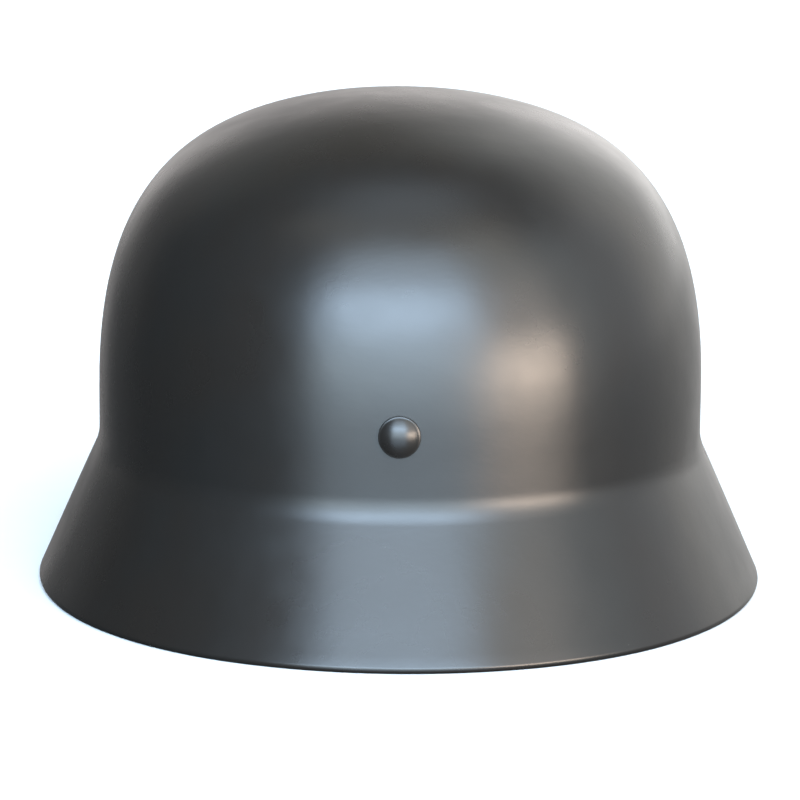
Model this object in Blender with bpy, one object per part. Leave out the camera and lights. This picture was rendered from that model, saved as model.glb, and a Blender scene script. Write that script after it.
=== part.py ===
"""Steel combat helmet shell with rolled rim, three split-pin rivets and two vent bushings.

The helmet stands on its rim: +Z is up, the visor points to -Y, the neck guard to +Y,
and the wearer's left is +X. The origin lies under the middle of its width and length.
Lengths are in metres. Angles round the dome's axis are measured from the rear centre, +Y,
and are positive towards +X.
"""

import math

import bmesh
import bpy
import numpy as np
from mathutils import Matrix, Vector

MM = 0.001

# Dome, outside sizes
DOME_WIDTH = 197.0 * MM
DOME_LENGTH = 227.4 * MM
HELMET_HEIGHT = 158.5 * MM
CROWN_FORWARD = 6.0 * MM

# Dome, form: how full its plan corners are, and the curve from crown to upright wall
DOME_FULLNESS = 0.0245
CROWN_FLATNESS = 0.37
CROWN_SHOULDER = 5.5
CROWN_SQUARENESS = 2.28
CREASE_PULL = 4

# Flared skirt, measured out from the dome and up from the base plane
SIDE_FLARE = 20.0 * MM
REAR_FLARE = 23.2 * MM
SKIRT_FULLNESS = 0.011
REAR_CREASE_HEIGHT = 43.6 * MM
SIDE_CREASE_HEIGHT = 46.3 * MM
BODY_FILLET_RADIUS = 18.0 * MM
REAR_STRAIGHT_WALL = 14.0 * MM
SIDE_STRAIGHT_WALL = 12.6 * MM

# Visor, measured out from the dome, and its edge down from its own crease
VISOR_REACH = 40.0 * MM
VISOR_END_REACH = 15.0 * MM
VISOR_HALF_ANGLE = math.radians(43.0)
VISOR_BLUNTNESS = 4
VISOR_CREASE_HEIGHT = 70.0 * MM
VISOR_TIP_DROP = 23.0 * MM
VISOR_END_DROP = 20.0 * MM
VISOR_FILLET_RADIUS = 12.0 * MM
VISOR_STRAIGHT_WALL = 3.5 * MM

# Step in the rim between ear and visor
STEP_START_ANGLE = math.radians(106.0)
STEP_END_ANGLE = math.radians(138.0)

# Sheet steel and the edge rolled inwards
WALL = 1.2 * MM
ROLL_GAP = 0.6 * MM
ROLL_FLAP = 4.5 * MM
FOOT_HALF_ANGLE = math.radians(15.0)

# Rivets
RIVET_HEAD_DIAMETER = 12.7 * MM
RIVET_HEAD_HEIGHT = 3.0 * MM
RIVET_HEAD_EDGE = 0.5 * MM
RIVET_SHANK_DIAMETER = 4.6 * MM
RIVET_LEG_LENGTH = 11.0 * MM
RIVET_LEG_WIDTH = 3.6 * MM
RIVET_LEG_THICKNESS = 1.0 * MM
REAR_RIVET_RISE = 22.8 * MM
FRONT_RIVET_RISE = 20.0 * MM
FRONT_RIVET_ANGLE = math.radians(132.0)

# Vent bushings
VENT_FLANGE_DIAMETER = 11.0 * MM
VENT_FLANGE_THICKNESS = 1.2 * MM
VENT_BARREL_DIAMETER = 7.2 * MM
VENT_HOLE_DIAMETER = 5.2 * MM
VENT_RISE = 50.0 * MM
VENT_ANGLE = math.radians(106.0)

# Clearances
SEAT_GAP = 0.3 * MM
LEG_GAP = 0.45 * MM
HOLE_CLEARANCE = 0.3 * MM

# Facets
REAR_COLUMNS = 21
STEP_COLUMNS = 11
VISOR_COLUMNS = 7
CROWN_ROWS = 14
FILLET_ROWS = 5
SKIRT_ROWS = 3
HEAD_SIDES = 18
HEAD_ROWS = 4
VENT_SIDES = 18
FLANGE_ROWS = 4
HOLE_SIDES = 18
LEG_STATIONS = 9

# Rows of the sheet: crown 0 to 1, upright wall to 2, crease fillet to 3, skirt to 4
CROWN_END = 1.0
WALL_END = 2.0
FILLET_END = 3.0
SKIRT_END = 4.0

QUARTER_TURN = math.pi / 2
SMALL_ANGLE = 1e-4
SMALL_STEP = 1e-4

PAINT_COLOUR = (0.045, 0.050, 0.052, 1.0)
PAINT_ROUGHNESS = 0.38


def smooth_step(share):
    """Ease from 0 to 1 with level ends."""
    share = np.clip(share, 0.0, 1.0)
    return share * share * (3.0 - 2.0 * share)


def unit(vectors):
    """Scale vectors to length one."""
    return vectors / np.linalg.norm(vectors, axis=-1, keepdims=True)


def oval_radius(angle, half_width, half_length, fullness):
    """Distance from the axis to an ellipse whose four corners are made fuller."""
    across = (np.sin(angle) / half_width) ** 2
    along = (np.cos(angle) / half_length) ** 2
    total = across + along
    corner = 4.0 * across * along / total**2
    return (1.0 + fullness * corner) / np.sqrt(total)


def round_shares(angle):
    """Turn from the rear, and the shares that ease from rear to side and side to front."""
    turn = np.abs(np.arctan2(np.sin(angle), np.cos(angle)))
    to_side = smooth_step(turn / QUARTER_TURN)
    to_front = smooth_step((turn - QUARTER_TURN) / QUARTER_TURN)
    return turn, to_side, to_front


def between(rear, side, front, to_side, to_front):
    """A size that eases from its rear value through its side value to its front value."""
    return rear + (side - rear) * to_side + (front - side) * to_front


def dome_radius(angle):
    """Outer radius of the dome's upright wall."""
    return oval_radius(angle, DOME_WIDTH / 2, DOME_LENGTH / 2, DOME_FULLNESS)


def crease_height(angle):
    """Height of the corner line between the upright wall and the skirt or visor."""
    _, to_side, to_front = round_shares(angle)
    return between(REAR_CREASE_HEIGHT, SIDE_CREASE_HEIGHT, VISOR_CREASE_HEIGHT, to_side, to_front)


def roll_radius():
    """Outer radius of the rolled edge."""
    return WALL + ROLL_GAP / 2


def roll_centre(angle):
    """Centre line of the rolled edge: level along ears and neck, stepped up to the visor."""
    turn, _, to_front = round_shares(angle)
    skirt = oval_radius(
        angle, DOME_WIDTH / 2 + SIDE_FLARE, DOME_LENGTH / 2 + REAR_FLARE, SKIRT_FULLNESS
    )
    tip_share = 1.0 / (1.0 + ((math.pi - turn) / VISOR_HALF_ANGLE) ** VISOR_BLUNTNESS)
    visor = dome_radius(angle) + VISOR_END_REACH + (VISOR_REACH - VISOR_END_REACH) * tip_share
    step = smooth_step((turn - STEP_START_ANGLE) / (STEP_END_ANGLE - STEP_START_ANGLE))
    reach = skirt + (visor - skirt) * step - roll_radius()
    drop = VISOR_END_DROP + (VISOR_TIP_DROP - VISOR_END_DROP) * to_front
    height = (crease_height(angle) - drop) * step + roll_radius() * math.cos(FOOT_HALF_ANGLE)
    return np.stack([reach * np.sin(angle), reach * np.cos(angle), height], axis=-1)


def rim_frame(angle):
    """Crease corner, roll centre, and the sheet's outward and downhill directions at the rim."""
    radius = dome_radius(angle)
    corner = np.stack([radius * np.sin(angle), radius * np.cos(angle), crease_height(angle)], axis=-1)
    centre = roll_centre(angle)
    along = unit(roll_centre(angle + SMALL_ANGLE) - roll_centre(angle - SMALL_ANGLE))
    outward = unit(centre * np.array([1.0, 1.0, 0.0]))
    for _ in range(4):
        downhill = unit(centre + roll_radius() * outward - corner)
        outward = unit(np.cross(along, downhill))
    return corner, centre, outward, np.cross(outward, along)


def outer_point(angle, row):
    """Points of the sheet's outer face for arrays of angles and rows, crown 0 to rim 4."""
    angle, row = np.broadcast_arrays(np.asarray(angle, float), np.asarray(row, float))
    _, to_side, to_front = round_shares(angle)
    radius = dome_radius(angle)
    radial = np.stack([np.sin(angle), np.cos(angle), np.zeros_like(angle)], axis=-1)
    up = np.array([0.0, 0.0, 1.0])

    corner, centre, outward, _ = rim_frame(angle)
    rim = centre + roll_radius() * outward
    downhill = unit(rim - corner)
    level = unit(downhill * np.array([1.0, 1.0, 0.0]))
    slope = np.arctan2(np.linalg.norm(downhill[..., :2], axis=-1), -downhill[..., 2])
    fillet = between(BODY_FILLET_RADIUS, BODY_FILLET_RADIUS, VISOR_FILLET_RADIUS, to_side, to_front)
    setback = fillet * np.tan(slope / 2)
    fillet_top = corner[..., 2] + setback

    straight = between(
        REAR_STRAIGHT_WALL, SIDE_STRAIGHT_WALL, VISOR_STRAIGHT_WALL, to_side, to_front
    )
    wall_top = fillet_top + straight
    side_wall_top = SIDE_CREASE_HEIGHT + SIDE_STRAIGHT_WALL
    share = np.sin(np.clip(row, 0.0, CROWN_END) * QUARTER_TURN)
    bulge = 1.0 - (1.0 - CROWN_FLATNESS) * share**2 - CROWN_FLATNESS * share**CROWN_SHOULDER
    depth = 1.0 - np.clip(bulge, 0.0, 1.0) ** (1.0 / CROWN_SQUARENESS)
    base = side_wall_top + (wall_top - side_wall_top) * share**CREASE_PULL
    crown_z = HELMET_HEIGHT - (HELMET_HEIGHT - base) * depth
    lean = np.array([0.0, -CROWN_FORWARD, 0.0]) * ((1.0 - share**2) ** 2)[..., None]
    crown = radial * (radius * share)[..., None] + lean + up * crown_z[..., None]

    wall_z = wall_top + (fillet_top - wall_top) * np.clip(row - CROWN_END, 0.0, 1.0)
    wall = radial * radius[..., None] + up * wall_z[..., None]

    swing = slope * np.clip(row - WALL_END, 0.0, 1.0)
    out = fillet * (1.0 - np.cos(swing))
    rise = setback - fillet * np.sin(swing)
    bend = corner + level * out[..., None] + up * rise[..., None]

    run = np.clip(row - FILLET_END, 0.0, 1.0)[..., None]
    skirt = bend + (rim - bend) * run

    row = row[..., None]
    below_crown = np.where(row <= WALL_END, wall, np.where(row <= FILLET_END, bend, skirt))
    return np.where(row <= CROWN_END, crown, below_crown)


def wall_frame(angle, row):
    """Point on the outer face with its outward, sideways and uphill directions."""
    point = outer_point(angle, row)
    sideways = unit(outer_point(angle + SMALL_ANGLE, row) - outer_point(angle - SMALL_ANGLE, row))
    uphill = unit(outer_point(angle, row - SMALL_STEP) - outer_point(angle, row + SMALL_STEP))
    outward = unit(np.cross(uphill, sideways))
    return point, outward, sideways, np.cross(sideways, outward)


def row_at_height(angle, height):
    """Row of the sheet that passes the given height, found by halving."""
    high, low = 0.05, SKIRT_END
    for _ in range(50):
        middle = (high + low) / 2
        if outer_point(angle, middle)[2] > height:
            high = middle
        else:
            low = middle
    return middle


def column_angles():
    """Angles of the sheet's columns, closest together at the two steps in the rim."""
    margin = math.radians(4.0)
    rear = np.linspace(0.0, STEP_START_ANGLE - margin, REAR_COLUMNS, endpoint=False)
    step = np.linspace(STEP_START_ANGLE - margin, STEP_END_ANGLE + margin, STEP_COLUMNS, endpoint=False)
    visor = np.linspace(STEP_END_ANGLE + margin, math.pi, VISOR_COLUMNS, endpoint=False)
    half = np.concatenate([rear, step, visor])
    clockwise = np.concatenate([half, [math.pi], -half[:0:-1]])
    return clockwise[::-1]


def sheet_rings(angles):
    """Rings of outer-face points from just under the crown to the end of the rolled flap."""
    rows = np.concatenate(
        [
            np.linspace(0.0, CROWN_END, CROWN_ROWS + 1)[1:],
            [WALL_END],
            np.linspace(WALL_END, FILLET_END, FILLET_ROWS + 1)[1:],
            np.linspace(FILLET_END, SKIRT_END, SKIRT_ROWS + 1)[1:],
        ]
    )
    rings = [outer_point(angles, row) for row in rows]

    _, centre, outward, downhill = rim_frame(angles)
    lowest = QUARTER_TURN + np.arctan2(outward[:, 2], -downhill[:, 2])
    foot_start = lowest - FOOT_HALF_ANGLE
    foot_end = np.minimum(lowest + FOOT_HALF_ANGLE, (lowest + math.pi) / 2)
    turns = [foot_start / 3, foot_start * 2 / 3, foot_start, foot_end]
    turns += [(foot_end + math.pi) / 2, np.full_like(foot_end, math.pi)]
    for turn in turns:
        spoke = outward * np.cos(turn)[:, None] + downhill * np.sin(turn)[:, None]
        rings.append(centre + roll_radius() * spoke)
    rings.append(rings[-1] - ROLL_FLAP * downhill)
    return rings


def paint(name):
    """Dark grey paint of one sub-part."""
    material = bpy.data.materials.new(name + "_paint")
    material.use_nodes = True
    shader = material.node_tree.nodes["Principled BSDF"]
    shader.inputs["Base Color"].default_value = PAINT_COLOUR
    shader.inputs["Roughness"].default_value = PAINT_ROUGHNESS
    shader.inputs["Metallic"].default_value = 0.0
    return material


def add_object(name, mesh, placement=None):
    """Link a mesh to the scene as a shaded object at its place."""
    made = bpy.data.objects.new(name, mesh)
    bpy.context.scene.collection.objects.link(made)
    if placement is not None:
        made.matrix_world = placement
    mesh.materials.append(paint(name))
    mesh.shade_smooth()
    mesh.set_sharp_from_angle(angle=math.radians(35.0))
    return made


def ringed_mesh(name, rings, top=None, bottom=None, endless=False):
    """Mesh of rings of equally many points, closed by end points or by joining last to first."""
    shape = bmesh.new()
    loops = [[shape.verts.new(point) for point in ring] for ring in rings]
    following_loops = loops[1:] + loops[:1] if endless else loops[1:]
    for upper, lower in zip(loops, following_loops):
        for index in range(len(upper)):
            following = (index + 1) % len(upper)
            shape.faces.new((upper[index], lower[index], lower[following], upper[following]))
    if top is not None:
        pole = shape.verts.new(top)
        ring = loops[0]
        for index in range(len(ring)):
            shape.faces.new((pole, ring[index], ring[(index + 1) % len(ring)]))
    if bottom is not None:
        pole = shape.verts.new(bottom)
        ring = loops[-1]
        for index in range(len(ring)):
            shape.faces.new((pole, ring[(index + 1) % len(ring)], ring[index]))
    if endless or bottom is not None:
        bmesh.ops.recalc_face_normals(shape, faces=shape.faces)
    mesh = bpy.data.meshes.new(name)
    shape.to_mesh(mesh)
    shape.free()
    return mesh


def turned_rings(profile, sides):
    """Rings about local Z for pairs of radius and height."""
    turns = [2 * math.pi * index / sides for index in range(sides)]
    return [[(radius * math.cos(t), radius * math.sin(t), z) for t in turns] for radius, z in profile]


def hidden_tool(name, mesh, placement=None):
    """Object that only cuts or joins, and isn't a piece itself."""
    tool = bpy.data.objects.new(name, mesh)
    bpy.context.scene.collection.objects.link(tool)
    if placement is not None:
        tool.matrix_world = placement
    tool.hide_render = True
    tool.display_type = "WIRE"
    return tool


def combine(target, tool, operation):
    """Join a tool to a piece, or cut it away."""
    modifier = target.modifiers.new(tool.name, "BOOLEAN")
    modifier.operation = operation
    modifier.solver = "EXACT"
    modifier.object = tool


def fastener_placement(angle, height):
    """Local frame on the outer face: X runs sideways, Y uphill and Z outwards."""
    row = row_at_height(angle, height)
    point, outward, sideways, uphill = wall_frame(angle, row)
    columns = zip(sideways, uphill, outward, point)
    return Matrix([list(values) for values in columns] + [[0.0, 0.0, 0.0, 1.0]])


def inner_rise(placement, angle, height, radius):
    """How far the inner face comes in, off its tangent plane, within a radius of the axis."""
    inverse = placement.inverted()
    span = radius / float(dome_radius(angle))
    rise = 0.0
    for index in range(HOLE_SIDES):
        turn = 2 * math.pi * index / HOLE_SIDES
        turned = angle + math.cos(turn) * span
        row = row_at_height(turned, height + math.sin(turn) * radius)
        point, outward, _, _ = wall_frame(turned, row)
        local = inverse @ Vector(point - outward * WALL)
        rise = max(rise, -local.z - WALL)
    return rise


def hole_tool(name, placement, diameter):
    """Round cutter through the wall along a fastener's axis."""
    reach = 6 * WALL
    radius = diameter / 2 + HOLE_CLEARANCE
    rings = turned_rings([(radius, reach), (radius, -reach)], HOLE_SIDES)
    mesh = ringed_mesh(name, rings, top=(0.0, 0.0, reach), bottom=(0.0, 0.0, -reach))
    return hidden_tool(name, mesh, placement)


def build_shell(holes):
    """The pressed shell: one sheet from crown to rolled rim, with a hole for each fastener."""
    rings = sheet_rings(column_angles())
    crown = (0.0, -CROWN_FORWARD, HELMET_HEIGHT)
    shell = add_object("shell", ringed_mesh("shell", rings, top=crown))
    sheet = shell.modifiers.new("sheet", "SOLIDIFY")
    sheet.thickness = WALL
    sheet.offset = -1.0
    sheet.use_even_offset = True
    sheet.use_quality_normals = True
    for hole in holes:
        combine(shell, hole, "DIFFERENCE")
    return shell


def leg_mesh(name, placement, angle, height):
    """The two clinched legs of a split pin as one bar that follows the inner wall."""
    inverse = placement.inverted()
    rings = []
    for share in np.linspace(-1.0, 1.0, LEG_STATIONS):
        turned = angle + share * RIVET_LEG_LENGTH / float(dome_radius(angle))
        point, outward, _, uphill = wall_frame(turned, row_at_height(turned, height))
        near = point - outward * (WALL + LEG_GAP)
        far = near - outward * RIVET_LEG_THICKNESS
        half = uphill * RIVET_LEG_WIDTH / 2
        corners = (near - half, near + half, far + half, far - half)
        rings.append([inverse @ Vector(corner) for corner in corners])
    ends = [sum(ring, Vector()) / len(ring) for ring in (rings[0], rings[-1])]
    return ringed_mesh(name, rings, top=ends[0], bottom=ends[1])


def build_rivet(name, angle, rise):
    """Domed split pin: head outside, shank through the wall, two legs spread inside."""
    height = float(crease_height(angle)) + rise
    placement = fastener_placement(angle, height)
    head_radius = RIVET_HEAD_DIAMETER / 2
    shank_radius = RIVET_SHANK_DIAMETER / 2
    dome = RIVET_HEAD_HEIGHT - RIVET_HEAD_EDGE
    ball = (head_radius**2 + dome**2) / (2 * dome)
    widest = math.asin(head_radius / ball)
    crest = SEAT_GAP + RIVET_HEAD_HEIGHT
    profile = []
    for index in range(1, HEAD_ROWS + 1):
        swing = widest * index / HEAD_ROWS
        profile.append((ball * math.sin(swing), crest - ball * (1.0 - math.cos(swing))))
    shank_end = -(WALL + LEG_GAP + RIVET_LEG_THICKNESS / 2)
    profile += [(head_radius, SEAT_GAP), (shank_radius, SEAT_GAP), (shank_radius, shank_end)]
    rings = turned_rings(profile, HEAD_SIDES)
    mesh = ringed_mesh(name, rings, top=(0.0, 0.0, crest), bottom=(0.0, 0.0, shank_end))
    rivet = add_object(name, mesh, placement)
    legs = hidden_tool(name + "_legs", leg_mesh(name + "_legs", placement, angle, height), placement)
    combine(rivet, legs, "UNION")
    return hole_tool(name + "_hole", placement, RIVET_SHANK_DIAMETER)


def build_vent(name, angle):
    """Bushing pressed through the wall, with a rounded flange outside and a rolled one inside."""
    height = float(crease_height(angle)) + VENT_RISE
    placement = fastener_placement(angle, height)
    flange = VENT_FLANGE_DIAMETER / 2
    barrel = VENT_BARREL_DIAMETER / 2
    bore = VENT_HOLE_DIAMETER / 2
    inner_seat = -(WALL + SEAT_GAP + inner_rise(placement, angle, height, flange))
    middle = (flange + bore) / 2
    half = (flange - bore) / 2
    outer_arch = []
    inner_arch = []
    for index in range(FLANGE_ROWS + 1):
        swing = math.pi * index / FLANGE_ROWS
        radius = middle + half * math.cos(swing)
        bulge = VENT_FLANGE_THICKNESS * math.sin(swing)
        outer_arch.append((radius, SEAT_GAP + bulge))
        inner_arch.append((radius, inner_seat - bulge))
    profile = [(barrel, inner_seat), (barrel, SEAT_GAP)] + outer_arch + inner_arch[::-1]
    rings = turned_rings(profile, VENT_SIDES)
    add_object(name, ringed_mesh(name, rings, endless=True), placement)
    return hole_tool(name + "_hole", placement, VENT_BARREL_DIAMETER)


def centre_on_origin():
    """Slide every object so that the origin lies under the middle of the length."""
    setback = (VISOR_REACH - REAR_FLARE) / 2
    for made in bpy.data.objects:
        made.matrix_world = Matrix.Translation((0.0, setback, 0.0)) @ made.matrix_world


def main():
    """Clear the scene and build the helmet."""
    for old in list(bpy.data.objects):
        bpy.data.objects.remove(old, do_unlink=True)
    holes = [
        build_rivet("rivet_rear", 0.0, REAR_RIVET_RISE),
        build_rivet("rivet_front_left", FRONT_RIVET_ANGLE, FRONT_RIVET_RISE),
        build_rivet("rivet_front_right", -FRONT_RIVET_ANGLE, FRONT_RIVET_RISE),
        build_vent("vent_bushing_left", VENT_ANGLE),
        build_vent("vent_bushing_right", -VENT_ANGLE),
    ]
    build_shell(holes)
    centre_on_origin()


main()
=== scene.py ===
"""Dressed model of a steel combat helmet shell: pressed sheet, split-pin rivets and vent bushings.

The helmet stands on its rolled rim. +Z is up, the visor points to -Y, the neck guard to +Y
and the wearer's left is +X. Lengths are in metres and angles in radians. Angles round the
helmet are measured from the rear centre, +Y, and are positive towards +X.
"""

import logging
import math
from dataclasses import dataclass, field, fields
from enum import Enum
from typing import Any, Optional, Sequence, Union

import bmesh
import bpy
from mathutils import Matrix, Vector


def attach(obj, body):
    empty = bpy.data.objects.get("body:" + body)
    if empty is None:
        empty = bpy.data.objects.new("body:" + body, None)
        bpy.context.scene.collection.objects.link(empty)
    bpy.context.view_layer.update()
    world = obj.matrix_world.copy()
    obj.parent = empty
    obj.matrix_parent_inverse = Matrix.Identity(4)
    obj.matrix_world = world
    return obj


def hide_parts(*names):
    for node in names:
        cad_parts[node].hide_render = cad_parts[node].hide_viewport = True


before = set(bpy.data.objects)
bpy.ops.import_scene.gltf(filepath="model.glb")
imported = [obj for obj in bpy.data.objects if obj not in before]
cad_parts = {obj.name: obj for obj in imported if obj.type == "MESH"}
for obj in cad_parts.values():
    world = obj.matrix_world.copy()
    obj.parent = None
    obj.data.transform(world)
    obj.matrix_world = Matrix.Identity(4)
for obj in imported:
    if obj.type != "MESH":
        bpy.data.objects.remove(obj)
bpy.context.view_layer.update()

LOG = logging.getLogger("helmet")

MM = 0.001
DEGREE = math.pi / 180.0
QUARTER_TURN = math.pi / 2.0
SHARP_ANGLE = 38.0 * DEGREE


class Side(Enum):
    """Sides of the helmet, as the wearer has them."""

    LEFT = 1
    RIGHT = -1


class Slot(Enum):
    """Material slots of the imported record."""

    SHELL = "shell_paint"
    RIVET = "rivet_paint"
    VENT = "vent_paint"


# Node trees


@dataclass(frozen=True)
class Field:
    """A value inside a node tree that takes part in ordinary arithmetic."""

    graph: "Graph"
    socket: bpy.types.NodeSocket

    @property
    def is_vector(self) -> bool:
        """Whether the value is a vector."""
        return self.socket.type == "VECTOR"

    def scalar(self, operation: str, *values: "Number") -> "Field":
        """One Math node.

        Args:
            operation: The node's operation.
            values: Its inputs, in order.

        Returns:
            The node's result.
        """
        inputs = dict(enumerate(values))
        return self.graph.field("ShaderNodeMath", inputs, operation=operation)

    def vector(self, operation: str, *values: Any, **named: Any) -> "Field":
        """One Vector Math node.

        Args:
            operation: The node's operation.
            values: Its vector inputs, in order.
            named: Its other inputs, by name.

        Returns:
            The node's vector result.
        """
        inputs = {**dict(enumerate(values)), **named}
        return self.graph.field("ShaderNodeVectorMath", inputs, operation=operation)

    def __add__(self, other: Any) -> "Field":
        """Sum."""
        method = self.vector if self.is_vector else self.scalar
        return method("ADD", self, other)

    def __radd__(self, other: Any) -> "Field":
        """Sum."""
        return self + other

    def __sub__(self, other: Any) -> "Field":
        """Difference."""
        method = self.vector if self.is_vector else self.scalar
        return method("SUBTRACT", self, other)

    def __rsub__(self, other: Any) -> "Field":
        """Difference."""
        method = self.vector if self.is_vector else self.scalar
        return method("SUBTRACT", other, self)

    def __mul__(self, other: Any) -> "Field":
        """Product of two numbers, or of a vector and a number.

        Args:
            other: A number, or a vector where this field is a number.

        Returns:
            The product.
        """
        if self.is_vector:
            return self.vector("SCALE", self, Scale=other)
        if isinstance(other, Vector) or (isinstance(other, Field) and other.is_vector):
            return self.vector("SCALE", other, Scale=self)
        return self.scalar("MULTIPLY", self, other)

    def __rmul__(self, other: Any) -> "Field":
        """Product."""
        return self * other

    def __truediv__(self, other: "Number") -> "Field":
        """Quotient of two numbers."""
        return self.scalar("DIVIDE", self, other)

    def __rtruediv__(self, other: "Number") -> "Field":
        """Quotient of two numbers."""
        return self.scalar("DIVIDE", other, self)

    def __pow__(self, other: "Number") -> "Field":
        """Power."""
        return self.scalar("POWER", self, other)

    def __neg__(self) -> "Field":
        """The opposite number."""
        return self.scalar("MULTIPLY", self, -1.0)

    def __abs__(self) -> "Field":
        """The number without its sign."""
        return self.scalar("ABSOLUTE", self)


Number = Union[Field, float]
Direction = Union[Field, Vector]


class Graph:
    """Writer for one node tree, of geometry or of a shader."""

    def __init__(self, tree: bpy.types.NodeTree) -> None:
        """Start writing.

        Args:
            tree: The node tree to write to.
        """
        self.tree = tree

    def feed(self, socket: bpy.types.NodeSocket, value: Any) -> None:
        """Give an input its value.

        Args:
            socket: The input.
            value: A field or socket to link, or a plain value to set.
        """
        if isinstance(value, Field):
            self.tree.links.new(value.socket, socket)
        elif isinstance(value, bpy.types.NodeSocket):
            self.tree.links.new(value, socket)
        else:
            socket.default_value = value

    def node(
        self, kind: str, inputs: Optional[dict[Any, Any]] = None, **settings: Any
    ) -> bpy.types.Node:
        """Add a node.

        Args:
            kind: The node's type.
            inputs: Its inputs by name or number.
            settings: Its properties.

        Returns:
            The new node.
        """
        made = self.tree.nodes.new(kind)
        for name, value in settings.items():
            setattr(made, name, value)
        for key, value in (inputs or {}).items():
            self.feed(made.inputs[key], value)
        return made

    def field(
        self,
        kind: str,
        inputs: Optional[dict[Any, Any]] = None,
        output: Union[int, str] = 0,
        **settings: Any,
    ) -> Field:
        """Add a node and take one of its results.

        Args:
            kind: The node's type.
            inputs: Its inputs by name or number.
            output: The result wanted.
            settings: Its properties.

        Returns:
            The result as a field.
        """
        return Field(self, self.node(kind, inputs, **settings).outputs[output])


def sine(value: Number) -> Number:
    """Sine of a number or field."""
    return value.scalar("SINE", value) if isinstance(value, Field) else math.sin(value)


def cosine(value: Number) -> Number:
    """Cosine of a number or field."""
    return value.scalar("COSINE", value) if isinstance(value, Field) else math.cos(value)


def tangent(value: Number) -> Number:
    """Tangent of a number or field."""
    return value.scalar("TANGENT", value) if isinstance(value, Field) else math.tan(value)


def root(value: Number) -> Number:
    """Square root of a number or field."""
    return value.scalar("SQRT", value) if isinstance(value, Field) else math.sqrt(value)


def arc_tangent(across: Number, along: Number) -> Number:
    """Angle whose tangent is across over along.

    Args:
        across: The opposite side.
        along: The adjacent side.

    Returns:
        The angle, between minus pi and pi.
    """
    if isinstance(across, Field):
        return across.scalar("ARCTAN2", across, along)
    return math.atan2(across, along)


def limited(value: Number, lowest: float = 0.0, highest: float = 1.0) -> Number:
    """Hold a number between two others.

    Args:
        value: The number or field.
        lowest: The least result.
        highest: The greatest result.

    Returns:
        The number, held.
    """
    if isinstance(value, Field):
        return value.scalar("MINIMUM", value.scalar("MAXIMUM", value, lowest), highest)
    return min(max(value, lowest), highest)


def smooth_step(share: Number) -> Number:
    """Ease from 0 to 1 with level ends."""
    held = limited(share)
    return held * held * (3.0 - 2.0 * held)


def triple(x: Number, y: Number, z: Number) -> Direction:
    """Vector of three numbers or fields.

    Args:
        x: First part.
        y: Second part.
        z: Third part.

    Returns:
        A field if any part is one, else a plain vector.
    """
    for value in (x, y, z):
        if isinstance(value, Field):
            return value.graph.field("ShaderNodeCombineXYZ", {"X": x, "Y": y, "Z": z})
    return Vector((x, y, z))


def part_of(vector: Direction, axis: int) -> Number:
    """One part of a vector.

    Args:
        vector: The vector.
        axis: 0, 1 or 2.

    Returns:
        That part.
    """
    if isinstance(vector, Field):
        return vector.graph.field("ShaderNodeSeparateXYZ", {0: vector}, output=axis)
    return vector[axis]


def unit(vector: Direction) -> Direction:
    """The vector at length one.

    Args:
        vector: A vector or field.

    Returns:
        The same direction at length one.
    """
    if isinstance(vector, Field):
        return vector.vector("NORMALIZE", vector)
    return vector.normalized()


def cross(first: Direction, second: Direction) -> Direction:
    """Vector at right angles to two others.

    Args:
        first: A vector or field.
        second: The other, of the same kind.

    Returns:
        Their cross product.
    """
    if isinstance(first, Field):
        return first.vector("CROSS_PRODUCT", first, second)
    return first.cross(second)


def between(rear: Number, side: Number, front: Number, shares: tuple[Number, Number]) -> Number:
    """A size that eases from its rear value through its side value to its front value.

    Args:
        rear: Value at the rear centre.
        side: Value at the sides.
        front: Value at the front centre.
        shares: How far the place lies from rear to side, and from side to front.

    Returns:
        The size at that place.
    """
    to_side, to_front = shares
    return rear + (side - rear) * to_side + (front - side) * to_front


# The form of the pressed sheet


@dataclass(frozen=True)
class ShellSizes:
    """Sizes of the pressed shell, outside."""

    dome_half_width: Number = 98.5 * MM
    dome_half_length: Number = 113.7 * MM
    helmet_height: Number = 158.5 * MM
    crown_forward: Number = 6.0 * MM
    dome_fullness: Number = 0.0245
    crown_flatness: Number = 0.37
    crown_shoulder: Number = 5.5
    crown_squareness: Number = 2.28
    crease_pull: Number = 4.0
    side_flare: Number = 20.0 * MM
    rear_flare: Number = 23.2 * MM
    skirt_fullness: Number = 0.011
    rear_crease_height: Number = 43.6 * MM
    side_crease_height: Number = 46.3 * MM
    body_fillet: Number = 18.0 * MM
    rear_straight: Number = 14.0 * MM
    side_straight: Number = 12.6 * MM
    visor_reach: Number = 40.0 * MM
    visor_end_reach: Number = 15.0 * MM
    visor_half_angle: Number = 43.0 * DEGREE
    visor_bluntness: Number = 4.0
    visor_crease_height: Number = 70.0 * MM
    visor_tip_drop: Number = 23.0 * MM
    visor_end_drop: Number = 20.0 * MM
    visor_fillet: Number = 12.0 * MM
    visor_straight: Number = 3.5 * MM
    step_start: Number = 106.0 * DEGREE
    step_end: Number = 138.0 * DEGREE
    roll_radius: Number = 1.5 * MM
    roll_flap: Number = 4.5 * MM
    foot_half_angle: Number = 15.0 * DEGREE
    axis_setback: Number = 8.4 * MM


@dataclass(frozen=True)
class Rim:
    """The edge of the sheet at one angle: crease corner, roll centre and directions."""

    corner: Direction
    centre: Direction
    outward: Direction
    downhill: Direction


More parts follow.
